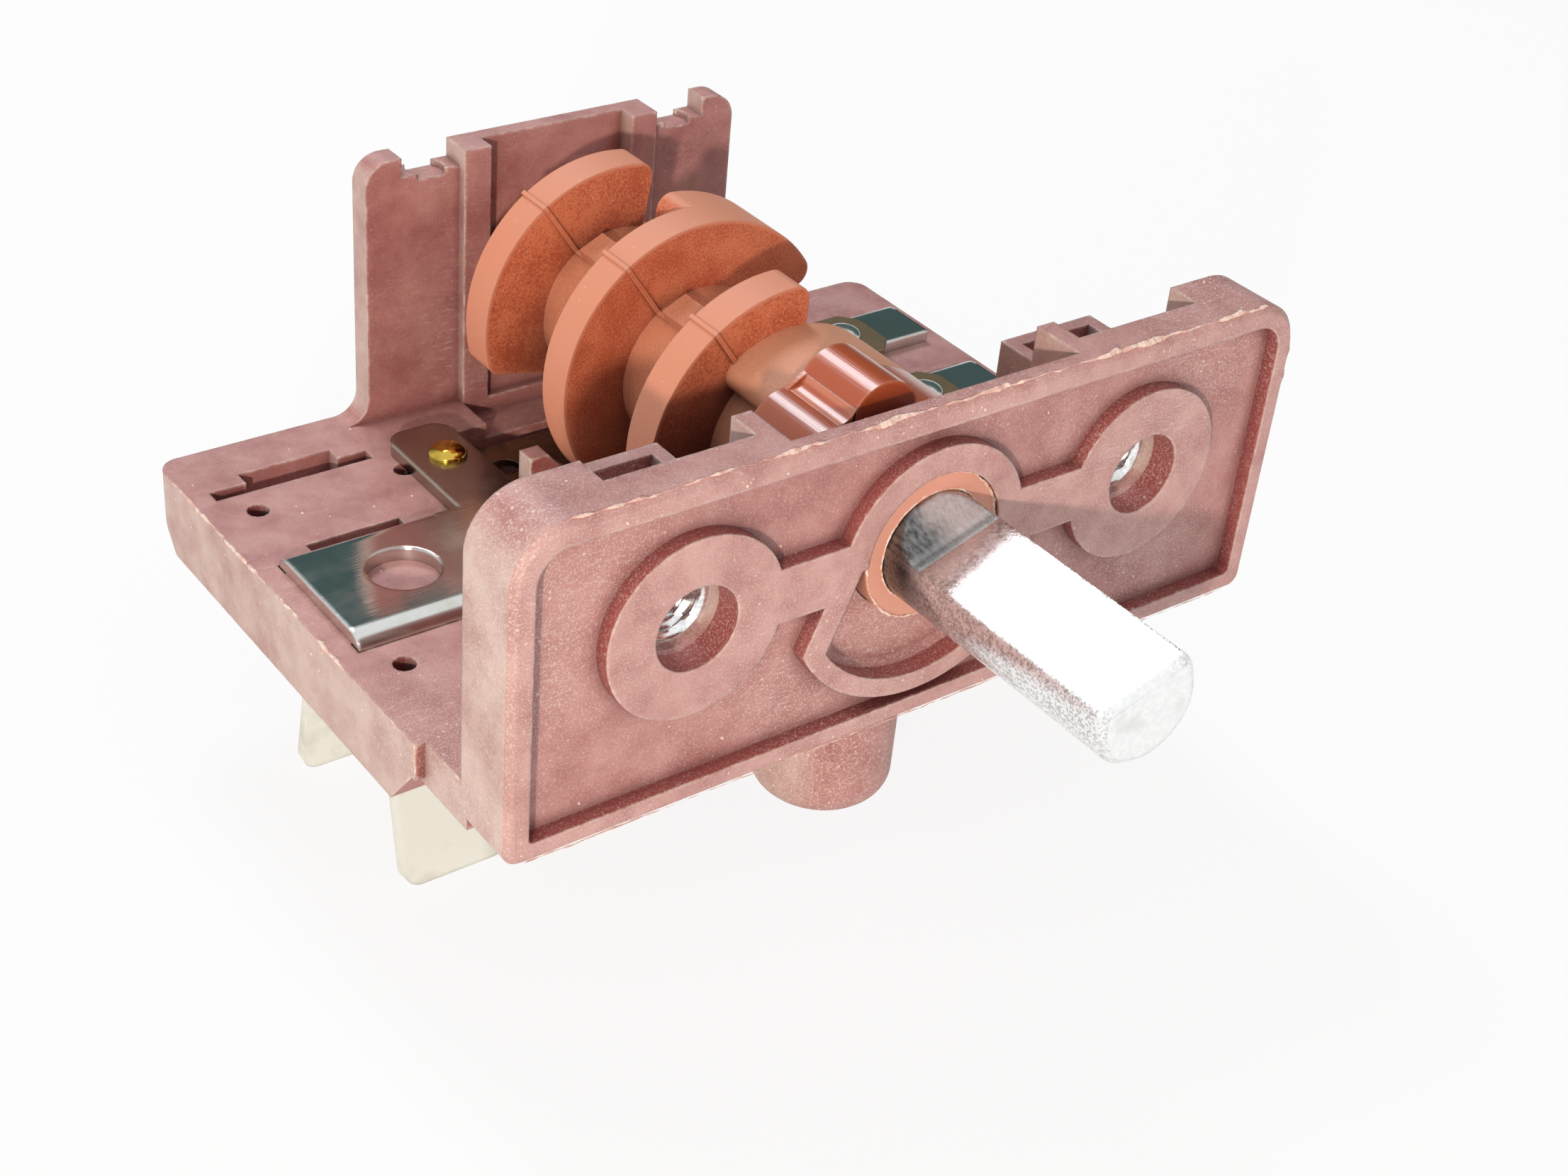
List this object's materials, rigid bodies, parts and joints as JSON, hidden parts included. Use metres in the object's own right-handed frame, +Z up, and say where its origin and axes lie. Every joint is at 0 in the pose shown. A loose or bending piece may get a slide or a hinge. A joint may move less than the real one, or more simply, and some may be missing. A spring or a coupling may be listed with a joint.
{
  "type": "rotary switch",
  "caption": "Open rotary selector switch: moulded base with front plate, cam shaft on a flatted steel spindle, leaf contacts and flat push-on tabs.",
  "frame": {"origin": "on the shaft axis in the plane of the front plate's rim, midway between the two fixing holes", "axes": "+X right seen from the front, +Y back from the front plate along the shaft, +Z up, away from the terminals; the shaft points to -Y"},
  "size_m": [0.0488, 0.0516, 0.0311],
  "materials": {
    "base_moulding": "pinkish brown thermoset with pale filler streaks",
    "cam_moulding": "terracotta thermoset, matt, satin on the detent wheel",
    "plated_steel": "zinc-plated steel",
    "plunger_moulding": "natural nylon",
    "spring_steel": "drawn spring wire",
    "bright_plate": "tinned strip, bright on top",
    "copper_alloy": "dull copper alloy strip",
    "silver": "silver contact metal",
    "brass_rivet": "yellow brass"
  },
  "bodies": {
    "housing": {"base": "base_moulding", "nut_plate_left": "plated_steel", "nut_plate_right": "plated_steel", "bridge_terminal": "bright_plate", "detent_spring": "spring_steel", "terminal_front": "bright_plate", "fixed_contact_front": "brass_rivet", "terminal_rivet_front": "silver", "terminal_middle": "bright_plate", "fixed_contact_middle": "brass_rivet", "terminal_rivet_middle": "silver", "terminal_rear": "bright_plate", "fixed_contact_rear": "brass_rivet", "terminal_rivet_rear": "silver"},
    "rotor": {"camshaft": "cam_moulding", "shaft": "plated_steel"},
    "plunger": {"detent_plunger": "plunger_moulding"},
    "contact_front": {"contact_spring_front": "copper_alloy", "contact_tip_front": "silver"},
    "contact_middle": {"contact_spring_middle": "copper_alloy", "contact_tip_middle": "silver"},
    "contact_rear": {"contact_spring_rear": "copper_alloy", "contact_tip_rear": "silver"}
  },
  "joints": [
    {"name": "selector_turn", "type": "hinge", "parent": "housing", "child": "rotor", "pos_m": [0, 0, 0], "axis": [0, -1, 0], "range_deg": [-30, 150]},
    {"name": "plunger_slide", "type": "slide", "parent": "housing", "child": "plunger", "axis": [0, 0, 1], "range_m": [0, 0.00085], "stiffness_N_per_m": 40, "deforming": ["detent_spring"]},
    {"name": "contact_front_flex", "type": "hinge", "parent": "housing", "child": "contact_front", "pos_m": [0.0196, 0.0126, -0.0069], "axis": [0, 1, 0], "range_deg": [0, 0.84], "stiffness_Nm_per_rad": 0.01},
    {"name": "contact_middle_flex", "type": "hinge", "parent": "housing", "child": "contact_middle", "pos_m": [0.0196, 0.0206, -0.0069], "axis": [0, 1, 0], "range_deg": [0, 0.84], "stiffness_Nm_per_rad": 0.01},
    {"name": "contact_rear_flex", "type": "hinge", "parent": "housing", "child": "contact_rear", "pos_m": [0.0196, 0.0286, -0.0069], "axis": [0, 1, 0], "range_deg": [0, 0.84], "stiffness_Nm_per_rad": 0.01}
  ]
}
